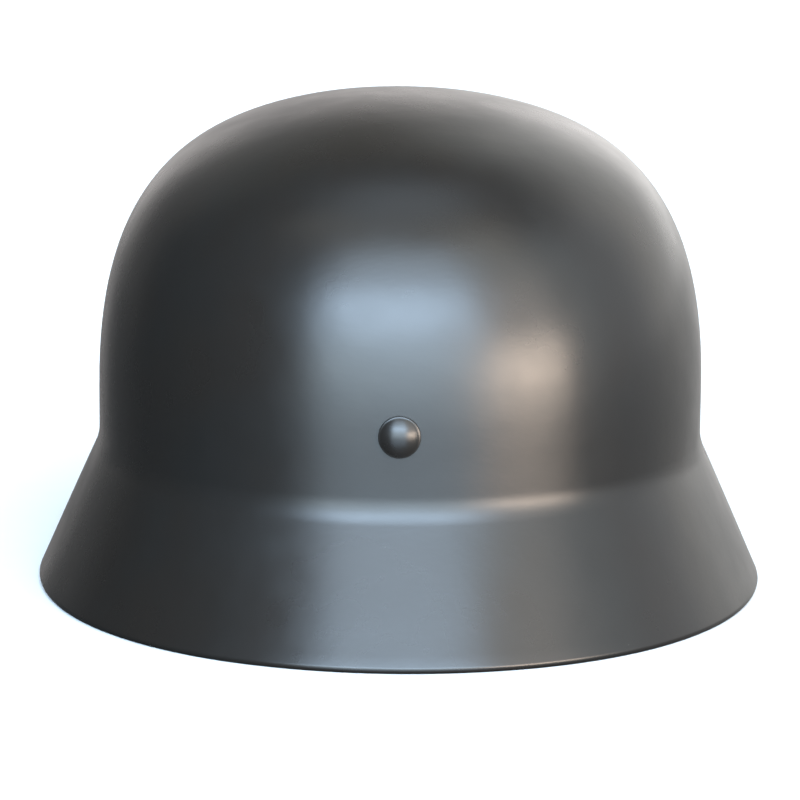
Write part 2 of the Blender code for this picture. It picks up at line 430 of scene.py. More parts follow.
class SheetForm:
    """The rule that the pressed sheet's outer face follows, for numbers or for fields."""

    crown_end = 1.0
    wall_end = 2.0
    fillet_end = 3.0
    skirt_end = 4.0
    first_row = 0.05
    turn_step = 0.01
    frame_step = 0.002
    rim_rounds = 4
    halvings = 40

    def __init__(self, sizes: ShellSizes) -> None:
        """Keep the sizes.

        Args:
            sizes: Numbers, or the fields of a node tree's inputs.
        """
        self.sizes = sizes

    def oval(
        self, angle: Number, half_width: Number, half_length: Number, fuller: Number
    ) -> Number:
        """Distance from the axis to an ellipse whose corners are made fuller.

        Args:
            angle: Angle from the rear centre.
            half_width: Half the oval's width.
            half_length: Half its length.
            fuller: How much its corners stand out.

        Returns:
            The distance.
        """
        across = sine(angle) / half_width
        along = cosine(angle) / half_length
        total = across * across + along * along
        corner = 4.0 * (across * across) * (along * along) / (total * total)
        return (1.0 + fuller * corner) / root(total)

    def place(self, angle: Number) -> tuple[Number, tuple[Number, Number]]:
        """Turn from the rear, and the shares from rear to side and side to front.

        Args:
            angle: Angle from the rear centre.

        Returns:
            The turn without its sign, and the two shares.
        """
        turn = abs(arc_tangent(sine(angle), cosine(angle)))
        share = turn / QUARTER_TURN
        return turn, (smooth_step(share), smooth_step(share - 1.0))

    def dome_radius(self, angle: Number) -> Number:
        """Outer radius of the dome's upright wall."""
        sizes = self.sizes
        return self.oval(angle, sizes.dome_half_width, sizes.dome_half_length, sizes.dome_fullness)

    def crease_height(self, angle: Number) -> Number:
        """Height of the corner line between the wall and the skirt or visor.

        Args:
            angle: Angle from the rear centre.

        Returns:
            The height above the floor.
        """
        sizes = self.sizes
        _, shares = self.place(angle)
        heights = (sizes.rear_crease_height, sizes.side_crease_height, sizes.visor_crease_height)
        return between(*heights, shares)

    def roll_centre(self, angle: Number) -> Direction:
        """Centre line of the rolled edge: level at ears and neck, stepped up to the visor.

        Args:
            angle: Angle from the rear centre.

        Returns:
            The point.
        """
        sizes = self.sizes
        turn, shares = self.place(angle)
        skirt = self.oval(
            angle,
            sizes.dome_half_width + sizes.side_flare,
            sizes.dome_half_length + sizes.rear_flare,
            sizes.skirt_fullness,
        )
        off_tip = (math.pi - turn) / sizes.visor_half_angle
        tip_share = 1.0 / (1.0 + off_tip**sizes.visor_bluntness)
        visor = self.dome_radius(angle) + sizes.visor_end_reach
        visor = visor + (sizes.visor_reach - sizes.visor_end_reach) * tip_share
        step = smooth_step((turn - sizes.step_start) / (sizes.step_end - sizes.step_start))
        reach = skirt + (visor - skirt) * step - sizes.roll_radius
        drop = sizes.visor_end_drop + (sizes.visor_tip_drop - sizes.visor_end_drop) * shares[1]
        foot = sizes.roll_radius * cosine(sizes.foot_half_angle)
        height = (self.crease_height(angle) - drop) * step + foot
        return triple(reach * sine(angle), reach * cosine(angle), height)

    def rim(self, angle: Number) -> Rim:
        """The rim's frame, found in a few rounds because the sheet meets the roll at a tangent.

        Args:
            angle: Angle from the rear centre.

        Returns:
            The rim at that angle.
        """
        radius = self.dome_radius(angle)
        corner = triple(radius * sine(angle), radius * cosine(angle), self.crease_height(angle))
        centre = self.roll_centre(angle)
        ahead = self.roll_centre(angle + self.turn_step)
        behind = self.roll_centre(angle - self.turn_step)
        along = unit(ahead - behind)
        outward = unit(triple(part_of(centre, 0), part_of(centre, 1), 0.0))
        for _ in range(self.rim_rounds):
            downhill = unit(centre + outward * self.sizes.roll_radius - corner)
            outward = unit(cross(along, downhill))
        return Rim(corner, centre, outward, cross(outward, along))

    def point(self, angle: Number, row: Number) -> Direction:
        """Point of the outer face.

        Args:
            angle: Angle from the rear centre.
            row: Crown 0 to 1, upright wall to 2, crease fillet to 3, skirt to 4.

        Returns:
            The point.
        """
        sizes = self.sizes
        _, shares = self.place(angle)
        radius = self.dome_radius(angle)
        radial = triple(sine(angle), cosine(angle), 0.0)
        rim = self.rim(angle)
        edge = rim.centre + rim.outward * sizes.roll_radius
        downhill = unit(edge - rim.corner)
        side_x, side_y, fall = (part_of(downhill, axis) for axis in range(3))
        level = unit(triple(side_x, side_y, 0.0))
        slope = arc_tangent(root(side_x * side_x + side_y * side_y), -fall)
        fillet = between(sizes.body_fillet, sizes.body_fillet, sizes.visor_fillet, shares)
        setback = fillet * tangent(slope / 2.0)
        straight = between(sizes.rear_straight, sizes.side_straight, sizes.visor_straight, shares)
        wall_top = part_of(rim.corner, 2) + setback + straight

        side_wall_top = sizes.side_crease_height + sizes.side_straight
        share = sine(limited(row) * QUARTER_TURN)
        square = share * share
        bulge = 1.0 - (1.0 - sizes.crown_flatness) * square
        bulge = limited(bulge - sizes.crown_flatness * share**sizes.crown_shoulder)
        depth = 1.0 - bulge ** (1.0 / sizes.crown_squareness)
        base = side_wall_top + (wall_top - side_wall_top) * share**sizes.crease_pull
        crown_height = sizes.helmet_height - (sizes.helmet_height - base) * depth
        lean = (1.0 - square) * (1.0 - square) * sizes.crown_forward

        swing = slope * limited(row - self.wall_end)
        height = crown_height - straight * limited(row - self.crown_end) - fillet * sine(swing)
        out = fillet * (1.0 - cosine(swing))
        sheet = radial * (radius * share) + level * out + triple(0.0, -1.0 * lean, height)
        bend_rise = setback - fillet * sine(slope)
        bend_end = rim.corner + level * (fillet * (1.0 - cosine(slope)))
        bend_end = bend_end + triple(0.0, 0.0, bend_rise)
        sheet = sheet + (edge - bend_end) * limited(row - self.fillet_end)
        return sheet + triple(0.0, sizes.axis_setback, 0.0)

    def rolled(self, angle: Number, roll: Number, flap: Number) -> Direction:
        """How far a point of the rolled edge lies from the end of the skirt.

        Args:
            angle: Angle from the rear centre.
            roll: Share of the half turn inwards.
            flap: Share of the flap that runs back up inside.

        Returns:
            The offset.
        """
        sizes = self.sizes
        rim = self.rim(angle)
        turn = roll * math.pi
        out = (cosine(turn) - 1.0) * sizes.roll_radius
        down = sine(turn) * sizes.roll_radius - flap * sizes.roll_flap
        return rim.outward * out + rim.downhill * down

    def row_at_height(self, angle: float, height: float) -> float:
        """Row of the sheet that passes a height, found by halving.

        Args:
            angle: Angle from the rear centre.
            height: Height above the floor.

        Returns:
            The row.
        """
        high, low = self.first_row, self.skirt_end
        for _ in range(self.halvings):
            middle = (high + low) / 2.0
            if self.point(angle, middle).z > height:
                high = middle
            else:
                low = middle
        return (high + low) / 2.0

    def face_frame(self, angle: float, height: float) -> Matrix:
        """Frame on the outer face: X runs sideways, against the angle, Y uphill and Z outwards.

        Args:
            angle: Angle from the rear centre.
            height: Height above the floor.

        Returns:
            The frame as a matrix.
        """
        row = self.row_at_height(angle, height)
        nearby = self.frame_step
        sideways = self.point(angle + nearby, row) - self.point(angle - nearby, row)
        uphill = self.point(angle, row - nearby) - self.point(angle, row + nearby)
        outward = uphill.cross(sideways).normalized()
        sideways = sideways.normalized()
        uphill = sideways.cross(outward)
        columns = (-sideways, uphill, outward, self.point(angle, row))
        rows = [list(values) for values in zip(*columns)]
        return Matrix(rows + [[0.0, 0.0, 0.0, 1.0]])


# Finishes


@dataclass(frozen=True)
class Enamel:
    """Semi-gloss enamel on pressed steel, sprayed, with a fine orange peel and grit in it."""

    name: str
    colour: tuple[float, float, float] = (0.0130, 0.0108, 0.0092)
    cool_colour: tuple[float, float, float] = (0.0112, 0.0103, 0.0095)
    dust_colour: tuple[float, float, float] = (0.085, 0.082, 0.074)
    bare_colour: tuple[float, float, float] = (0.055, 0.050, 0.046)
    roughness: float = 0.30
    roughness_swing: float = 0.07
    specular_level: float = 0.5
    patch_scale: float = 16.0
    patch_edges: tuple[float, float] = (0.35, 0.65)
    cloud_scale: float = 112.0
    cloud_detail: float = 3.0
    peel_scale: float = 760.0
    peel_stretch: tuple[float, float, float] = (0.55, 0.55, 1.0)
    peel_depth: float = 0.000016
    ripple_scale: float = 62.0
    ripple_depth: float = 0.00009
    grit_scale: float = 260.0
    grit_share: float = 0.03
    grit_size: float = 0.06
    grit_spread: float = 0.5
    grit_core: float = 0.4
    grit_tint: float = 0.7
    grit_dullness: float = 0.1
    wear: float = 0.35
    wear_scale: float = 210.0
    wear_detail: float = 4.0
    wear_unevenness: float = 0.5
    wear_edges: tuple[float, float] = (0.52, 0.66)
    wear_polish: float = 0.03

    def noise(self, graph: Graph, place: Field, scale: float, detail: float = 2.0) -> Field:
        """Noise over the piece.

        Args:
            graph: The material's tree.
            place: Object coordinates.
            scale: Waves per metre.
            detail: Layers of finer noise.

        Returns:
            Values about one half.
        """
        inputs = {"Vector": place, "Scale": scale, "Detail": detail, "Roughness": 0.5}
        return graph.field("ShaderNodeTexNoise", inputs, output="Fac")

    def ramp(self, graph: Graph, value: Field, low: float, high: float) -> Field:
        """Smooth rise from 0 to 1 between two values.

        Args:
            graph: The material's tree.
            value: What rises.
            low: Where the result is 0.
            high: Where it is 1.

        Returns:
            The share.
        """
        inputs = {"Value": value, "From Min": low, "From Max": high}
        return graph.field("ShaderNodeMapRange", inputs, interpolation_type="SMOOTHSTEP")

    def mix(self, graph: Graph, share: Field, first: Any, second: Any) -> Field:
        """Mix two colours.

        Args:
            graph: The material's tree.
            share: Share of the second.
            first: A colour or field.
            second: A colour or field.

        Returns:
            The mixed colour.
        """
        inputs = {0: share, 6: self.opaque(first), 7: self.opaque(second)}
        return graph.field("ShaderNodeMix", inputs, output=2, data_type="RGBA")

    @staticmethod
    def on_small_parts() -> dict[str, float]:
        """How the enamel differs on rivets and bushings: smoother and unworn."""
        return {"ripple_depth": 0.0, "wear": 0.0, "grit_share": 0.03, "roughness": 0.28}

    @staticmethod
    def opaque(colour: Any) -> Any:
        """A colour with its alpha, or the field as it is."""
        return colour if isinstance(colour, Field) else (*colour, 1.0)

    def grit(self, graph: Graph, place: Field) -> Field:
        """Scattered specks under the paint.

        Args:
            graph: The material's tree.
            place: Object coordinates.

        Returns:
            1 in a speck and 0 elsewhere.
        """
        cells = graph.node("ShaderNodeTexVoronoi", {"Vector": place, "Scale": self.grit_scale})
        distance = Field(graph, cells.outputs["Distance"])
        lot = graph.field("ShaderNodeSeparateColor", {0: cells.outputs["Color"]})
        chosen = self.ramp(graph, lot, self.grit_share, self.grit_share * self.grit_spread)
        near = self.ramp(graph, distance, self.grit_size, self.grit_size * self.grit_core)
        return chosen * near

    def material(self) -> bpy.types.Material:
        """Make the material.

        Returns:
            The finished material.
        """
        made = bpy.data.materials.new(self.name)
        made.use_nodes = True
        made.node_tree.nodes.clear()
        graph = Graph(made.node_tree)
        place = graph.field("ShaderNodeTexCoord", output="Object")
        stretched = graph.field("ShaderNodeMapping", {"Vector": place, "Scale": self.peel_stretch})

        broad = self.noise(graph, place, self.patch_scale, self.cloud_detail)
        patches = self.ramp(graph, broad, *self.patch_edges)
        clouds = self.noise(graph, place, self.cloud_scale, self.cloud_detail)
        grit = self.grit(graph, place)
        edge = graph.field("ShaderNodeAttribute", output="Fac", attribute_name="worn_edge")
        uneven = self.noise(graph, place, self.wear_scale, self.wear_detail)
        rubbed = edge * self.wear + uneven * self.wear_unevenness
        worn = self.ramp(graph, rubbed, *self.wear_edges)
        colour = self.mix(graph, patches, self.colour, self.cool_colour)
        colour = self.mix(graph, grit * self.grit_tint, colour, self.dust_colour)
        colour = self.mix(graph, worn, colour, self.bare_colour)
        swing = (patches - 0.5) * self.roughness_swing + (clouds - 0.5) * self.roughness_swing
        roughness = swing + self.roughness + grit * self.grit_dullness - worn * self.wear_polish

        peel = self.noise(graph, stretched, self.peel_scale, 2.0)
        ripple = self.noise(graph, place, self.ripple_scale, 1.0)
        height = peel * self.peel_depth + ripple * self.ripple_depth + grit * self.peel_depth
        bump = graph.field("ShaderNodeBump", {"Strength": 1.0, "Distance": 1.0, "Height": height})

        shader = graph.node(
            "ShaderNodeBsdfPrincipled",
            {"Base Color": colour, "Roughness": roughness, "Normal": bump, "Metallic": 0.0},
        )
        shader.inputs["Specular IOR Level"].default_value = self.specular_level
        output = graph.node("ShaderNodeOutputMaterial")
        made.node_tree.links.new(shader.outputs[0], output.inputs["Surface"])
        made.diffuse_color = (*self.colour, 1.0)
        return made


# Building helpers


class FormTree:
    """A geometry node tree with named inputs, used as a modifier and then made plain mesh."""

    merge_distance = 0.001 * MM

    def __init__(self, name: str) -> None:
        """Open an empty tree.

        Args:
            name: The tree's name.
        """
        self.tree = bpy.data.node_groups.new(name, "GeometryNodeTree")
        self.graph = Graph(self.tree)
        self.identifiers: dict[str, str] = {}
        for way in ("INPUT", "OUTPUT"):
            self.tree.interface.new_socket(
                "Geometry", in_out=way, socket_type="NodeSocketGeometry"
            )
        self.entry = self.graph.node("NodeGroupInput")
        self.exit = self.graph.node("NodeGroupOutput")

    def input(self, name: str, kind: str = "NodeSocketFloat") -> Field:
        """Add a named input.

        Args:
            name: Its name.
            kind: Its socket type.

        Returns:
            The input as a field.
        """
        socket = self.tree.interface.new_socket(name, in_out="INPUT", socket_type=kind)
        self.identifiers[name] = socket.identifier
        return Field(self.graph, self.entry.outputs[name])

    def close(self, geometry: Field, paint: Field) -> None:
        """End the tree: instances made real, then the material set.

        Args:
            geometry: The finished form.
            paint: The material input.
        """
        real = self.graph.field("GeometryNodeRealizeInstances", {0: geometry})
        dressed = self.graph.field("GeometryNodeSetMaterial", {"Geometry": real, "Material": paint})
        self.graph.feed(self.exit.inputs[0], dressed)

    def put_on(self, carrier: bpy.types.Object, values: dict[str, Any]) -> None:
        """Use the tree as a modifier.

        Args:
            carrier: The object that takes it.
            values: Its inputs by name.
        """
        modifier = carrier.modifiers.new(self.tree.name, "NODES")
        modifier.node_group = self.tree
        for name, value in values.items():
            modifier[self.identifiers[name]] = value


def new_object(name: str, mesh: Optional[bpy.types.Mesh] = None) -> bpy.types.Object:
    """Link a new mesh object.

    Args:
        name: The object's name.
        mesh: Its mesh, or none for an empty one.

    Returns:
        The object.
    """
    made = bpy.data.objects.new(name, mesh or bpy.data.meshes.new(name))
    bpy.context.scene.collection.objects.link(made)
    return made


def one_paint(mesh: bpy.types.Mesh, paint: Optional[bpy.types.Material]) -> None:
    """Give every face of a mesh the same material.

    Args:
        mesh: The mesh.
        paint: Its only material.
    """
    mesh.materials.clear()
    mesh.materials.append(paint)
    mesh.polygons.foreach_set("material_index", [0] * len(mesh.polygons))


def made_plain(carrier: bpy.types.Object, name: str) -> bpy.types.Object:
    """Turn an object with modifiers into a plain mesh object.

    Args:
        carrier: The object with its modifiers, which is removed.
        name: The plain object's name.

    Returns:
        The plain object.
    """
    bpy.context.view_layer.update()
    evaluated = carrier.evaluated_get(bpy.context.evaluated_depsgraph_get())
    mesh = bpy.data.meshes.new_from_object(evaluated)
    bpy.data.objects.remove(carrier, do_unlink=True)
    mesh.name = name
    one_paint(mesh, next((paint for paint in mesh.materials if paint), None))
    mesh.shade_smooth()
    mesh.set_sharp_from_angle(angle=SHARP_ANGLE)
    return new_object(name, mesh)


def ringed_mesh(name: str, rings: Sequence[Sequence[Vector]]) -> bpy.types.Mesh:
    """Closed mesh of rings of equally many points.

    Args:
        name: The mesh's name.
        rings: The rings, from one end to the other.

    Returns:
        The mesh, its faces pointing out.
    """
    shape = bmesh.new()
    loops = [[shape.verts.new(point) for point in ring] for ring in rings]
    for first, second in zip(loops, loops[1:]):
        for index in range(len(first)):
            following = (index + 1) % len(first)
            shape.faces.new((first[index], second[index], second[following], first[following]))
    shape.faces.new(loops[0])
    shape.faces.new(loops[-1])
    bmesh.ops.recalc_face_normals(shape, faces=shape.faces)
    mesh = bpy.data.meshes.new(name)
    shape.to_mesh(mesh)
    shape.free()
    return mesh


class LatheTree(FormTree):
    """Turns a chain of profile points about its own Z axis and sets the result in place."""

    def __init__(self) -> None:
        """Build the tree."""
        super().__init__("lathe")
        paint = self.input("Paint", "NodeSocketMaterial")
        sides = self.input("Sides", "NodeSocketInt")
        rows = self.input("Rows", "NodeSocketInt")
        place = self.input("Place", "NodeSocketVector")
        turned = self.input("Turned", "NodeSocketRotation")
        profile = Field(self.graph, self.entry.outputs["Geometry"])

        sheet = self.graph.field(
            "GeometryNodeMeshGrid",
            {"Size X": 1.0, "Size Y": 1.0, "Vertices X": sides + 1.0, "Vertices Y": rows},
        )
        spot = self.graph.field("GeometryNodeInputPosition")
        turn = (part_of(spot, 0) + 0.5) * (2.0 * math.pi)
        station = (part_of(spot, 1) + 0.5) * (rows - 1.0)
        index = station.scalar("ROUND", station)
        along = self.graph.field(
            "GeometryNodeSampleIndex",
            {"Geometry": profile, "Value": spot, "Index": index},
            data_type="FLOAT_VECTOR",
        )
        swung = self.graph.field(
            "ShaderNodeVectorRotate", {"Vector": along, "Angle": turn}, rotation_type="Z_AXIS"
        )
        shaped = self.graph.field("GeometryNodeSetPosition", {"Geometry": sheet, "Position": swung})
        closed = self.graph.field(
            "GeometryNodeMergeByDistance", {"Geometry": shaped, "Distance": self.merge_distance}
        )
        set_in = self.graph.field(
            "GeometryNodeTransform",
            {"Geometry": closed, "Translation": place, "Rotation": turned},
        )
        smooth = self.graph.field("GeometryNodeSetShadeSmooth", {"Geometry": set_in})
        self.close(smooth, paint)

    def turn(
        self,
        name: str,
        profile: Sequence[tuple[float, float]],
        sides: int,
        frame_matrix: Matrix,
        paint: bpy.types.Material,
    ) -> bpy.types.Object:
        """Turn a profile and set it in its frame.

        Args:
            name: The new object's name.
            profile: Pairs of radius and height, from first to last.
            sides: Facets round the axis.
            frame_matrix: Where the piece's own frame lies.
            paint: Its material.

        Returns:
            The plain mesh object.
        """
        chain = bpy.data.meshes.new(name + "_profile")
        points = [(radius, 0.0, height) for radius, height in profile]
        links = [(index, index + 1) for index in range(len(points) - 1)]
        chain.from_pydata(points, links, [])
        carrier = new_object(name + "_carrier", chain)
        values = {
            "Paint": paint,
            "Sides": sides,
            "Rows": len(points),
            "Place": frame_matrix.to_translation(),
            "Turned": frame_matrix.to_euler(),
        }
        self.put_on(carrier, values)
        return made_plain(carrier, name)


def merged_mesh(name: str, pieces: Sequence[bpy.types.Object]) -> bpy.types.Mesh:
    """One mesh of several objects at the origin.

    Args:
        name: The mesh's name.
        pieces: The objects, which are removed.

    Returns:
        The mesh, without materials.
    """
    shape = bmesh.new()
    for piece in pieces:
        shape.from_mesh(piece.data)
        bpy.data.objects.remove(piece, do_unlink=True)
    mesh = bpy.data.meshes.new(name)
    shape.to_mesh(mesh)
    shape.free()
    return mesh


def joined(
    name: str, pieces: Sequence[bpy.types.Object], paint: bpy.types.Material
) -> bpy.types.Object:
    """Join plain mesh objects at the origin into one.

    Args:
        name: The joined object's name.
        pieces: The objects, which are removed.
        paint: The joined object's material.

    Returns:
        The joined object.
    """
    mesh = merged_mesh(name, pieces)
    one_paint(mesh, paint)
    mesh.shade_smooth()
    mesh.set_sharp_from_angle(angle=SHARP_ANGLE)
    return new_object(name, mesh)


# Sub-assemblies


@dataclass(frozen=True)
class PanelRows:
    """How many rows of facets each panel of the sheet has."""

    crown: int = 46
    wall: int = 8
    fillet: int = 14
    skirt: int = 12
    roll: int = 18
    flap: int = 3

    @staticmethod
    def names() -> list[str]:
        """The panels' input names, from crown to flap."""
        return [item.name + "_rows" for item in fields(PanelRows)]

    def values(self) -> dict[str, float]:
        """The panels' input values by name."""
        return {item.name + "_rows": float(getattr(self, item.name)) for item in fields(self)}


class SheetTree(FormTree):
    """The pressed sheet from crown to rolled edge, by the rule in SheetForm."""

    edge_start = 3.2
    edge_rows = 0.8
    skirt_parts = 12.0
    roll_parts = 2.0
    wave_detail = 1.5
    wave_roughness = 0.45

    def __init__(self) -> None:
        """Build the tree."""
        super().__init__("pressed_sheet")
        paint = self.input("Paint", "NodeSocketMaterial")
        size_inputs = {item.name: self.input(item.name) for item in fields(ShellSizes)}
        form = SheetForm(ShellSizes(**size_inputs))
        columns = self.input("Columns", "NodeSocketInt")
        counts = [self.input(name) for name in PanelRows.names()]
        wave_depth = self.input("Wave Depth")
        wave_scale = self.input("Wave Scale")
        edge_wave = self.input("Edge Wave Depth")

        rows = counts[0]
        for count in counts[1:]:
            rows = rows + count
        sheet = self.graph.field(
            "GeometryNodeMeshGrid",
            {"Size X": 1.0, "Size Y": 1.0, "Vertices X": columns + 1.0, "Vertices Y": rows + 1.0},
        )
        spot = self.graph.field("GeometryNodeInputPosition")
        angle = part_of(spot, 0) * (-2.0 * math.pi)
        station = (0.5 - part_of(spot, 1)) * rows
        station = station.scalar("ROUND", station)
        shares = []
        passed: Number = 0.0
        for count in counts:
            shares.append(limited((station - passed) / count))
            passed = count + passed
        row = shares[0] + shares[1] + shares[2] + shares[3]
        position = form.point(angle, row) + form.rolled(angle, shares[4], shares[5])
        shaped = self.graph.field(
            "GeometryNodeSetPosition", {"Geometry": sheet, "Position": position}
        )
        closed = self.graph.field(
            "GeometryNodeMergeByDistance", {"Geometry": shaped, "Distance": self.merge_distance}
        )
        edge_share = smooth_step((row - self.edge_start) / self.edge_rows)
        waved = self.waved(closed, wave_depth, wave_scale, edge_wave, edge_share)
        marked = self.graph.field(
            "GeometryNodeStoreNamedAttribute",
            {"Geometry": waved, "Name": "worn_edge", "Value": self.edge_mark(shares)},
            data_type="FLOAT",
            domain="POINT",
        )
        smooth = self.graph.field("GeometryNodeSetShadeSmooth", {"Geometry": marked})
        self.close(smooth, paint)

    def edge_mark(self, shares: list[Field]) -> Field:
        """Where the paint wears first: the turn of the rolled edge.

        Args:
            shares: How far the place is through each panel of the sheet.

        Returns:
            1 on the turn and 0 on the rest.
        """
        start = self.last_part(shares[3], self.skirt_parts)
        return start * (1.0 - self.last_part(shares[4], self.roll_parts))

    @staticmethod
    def last_part(share: Field, parts: float) -> Field:
        """Rise from 0 to 1 over the last of several equal parts of a panel."""
        return smooth_step(share * parts - (parts - 1.0))

    def waved(
        self, sheet: Field, depth: Field, scale: Field, edge_depth: Field, edge_share: Field
    ) -> Field:
        """Slight unevenness of hand-finished pressed steel.

        Args:
            sheet: The even sheet.
            depth: Greatest depth of the waves on the faces.
            scale: Waves per metre.
            edge_depth: Greatest depth of the waves along the edge.
            edge_share: 1 at the edge and 0 on the faces.

        Returns:
            The uneven sheet, still above the floor.
        """
        spot = self.graph.field("GeometryNodeInputPosition")
        normal = self.graph.field("GeometryNodeInputNormal")
        noise = {"Vector": spot, "Scale": scale}
        noise.update({"Detail": self.wave_detail, "Roughness": self.wave_roughness})
        wave = self.graph.field("ShaderNodeTexNoise", noise, output="Fac") - 0.5
        moved = spot + normal * (wave * (depth + (edge_depth - depth) * edge_share) * 2.0)
        lowest = part_of(moved, 2)
        held = triple(part_of(moved, 0), part_of(moved, 1), lowest.scalar("MAXIMUM", lowest, 0.0))
        return self.graph.field("GeometryNodeSetPosition", {"Geometry": sheet, "Position": held})


@dataclass
class Shell:
    """The one-piece shell: sheet, rolled edge and the holes that its fasteners pass through."""

    paint: Enamel
    sizes: ShellSizes = field(default_factory=ShellSizes)
    rows: PanelRows = field(default_factory=PanelRows)
    columns: int = 392
    wall: float = 1.2 * MM
    wave_depth: float = 0.16 * MM
    wave_scale: float = 17.0
    edge_wave_depth: float = 0.28 * MM
    node: str = "shell"

    @property
    def form(self) -> SheetForm:
        """The rule of the outer face, in plain numbers."""
        return SheetForm(self.sizes)

    def inputs(self, material: bpy.types.Material) -> dict[str, Any]:
        """Inputs of the sheet's tree.

        Args:
            material: The paint.

        Returns:
            The values by name.
        """
        values: dict[str, Any] = {}
        for item in fields(self.sizes):
            values[item.name] = getattr(self.sizes, item.name)
        values.update(self.rows.values())
        values.update({"Paint": material, "Columns": self.columns})
        values["Wave Depth"] = self.wave_depth
        values["Wave Scale"] = self.wave_scale
        values["Edge Wave Depth"] = self.edge_wave_depth
        return values

    def build(self, holes: Sequence[bpy.types.Object]) -> bpy.types.Object:
        """Press the sheet, give it its thickness and cut the holes.

        Args:
            holes: Cutters, which are removed.

        Returns:
            The finished piece.
        """
        carrier = new_object("shell_carrier")
        SheetTree().put_on(carrier, self.inputs(self.paint.material()))
        sheet = carrier.modifiers.new("sheet", "SOLIDIFY")
        sheet.thickness = self.wall
        sheet.offset = -1.0
        sheet.use_even_offset = True
        sheet.use_quality_normals = True
        cutter = new_object("hole_cutters", merged_mesh("hole_cutters", holes))
        cut = carrier.modifiers.new("holes", "BOOLEAN")
        cut.operation = "DIFFERENCE"
        cut.solver = "EXACT"
        cut.object = cutter
        made = made_plain(carrier, "pressed_shell")
        bpy.data.objects.remove(cutter, do_unlink=True)
        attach(made, "root")
        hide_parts(self.node)
        return made


@dataclass
class Fastener:
    """What a rivet and a vent bushing share: a place on the shell and a hole through it."""

    name: str
    node: str
    shell: Shell
    lathe: LatheTree
    paint: bpy.types.Material
    angle: float
    rise: float
    sides: int = 48
    hole_clearance: float = 0.15 * MM
    hole_walls: float = 6.0

    @property
    def height(self) -> float:
        """Height of the fastener's axis above the floor."""
        return self.shell.form.crease_height(self.angle) + self.rise

    @property
    def frame_matrix(self) -> Matrix:
        """The fastener's frame on the outer face."""
        return self.shell.form.face_frame(self.angle, self.height)

    def hole(self, diameter: float) -> bpy.types.Object:
        """Cutter for the fastener's hole.

        Args:
            diameter: What passes through the hole.

        Returns:
            The cutter, in place.
        """
        reach = self.hole_walls * self.shell.wall
        radius = diameter / 2.0 + self.hole_clearance
        place = self.frame_matrix
        rings = []
        for height in (reach, -reach):
            turns = [2.0 * math.pi * index / self.sides for index in range(self.sides)]
            ring = [Vector((radius * math.cos(t), radius * math.sin(t), height)) for t in turns]
            rings.append([place @ point for point in ring])
        return new_object(self.name + "_hole", ringed_mesh(self.name + "_hole", rings))

    def declare(self, made: bpy.types.Object, slot: Slot) -> bpy.types.Object:
        """Attach a finished piece to the root body and hide the imported part that it replaces.

        Args:
            made: The piece.
            slot: Not used.

        Returns:
            The piece.
        """
        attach(made, "root")
        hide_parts(self.node)
        return made


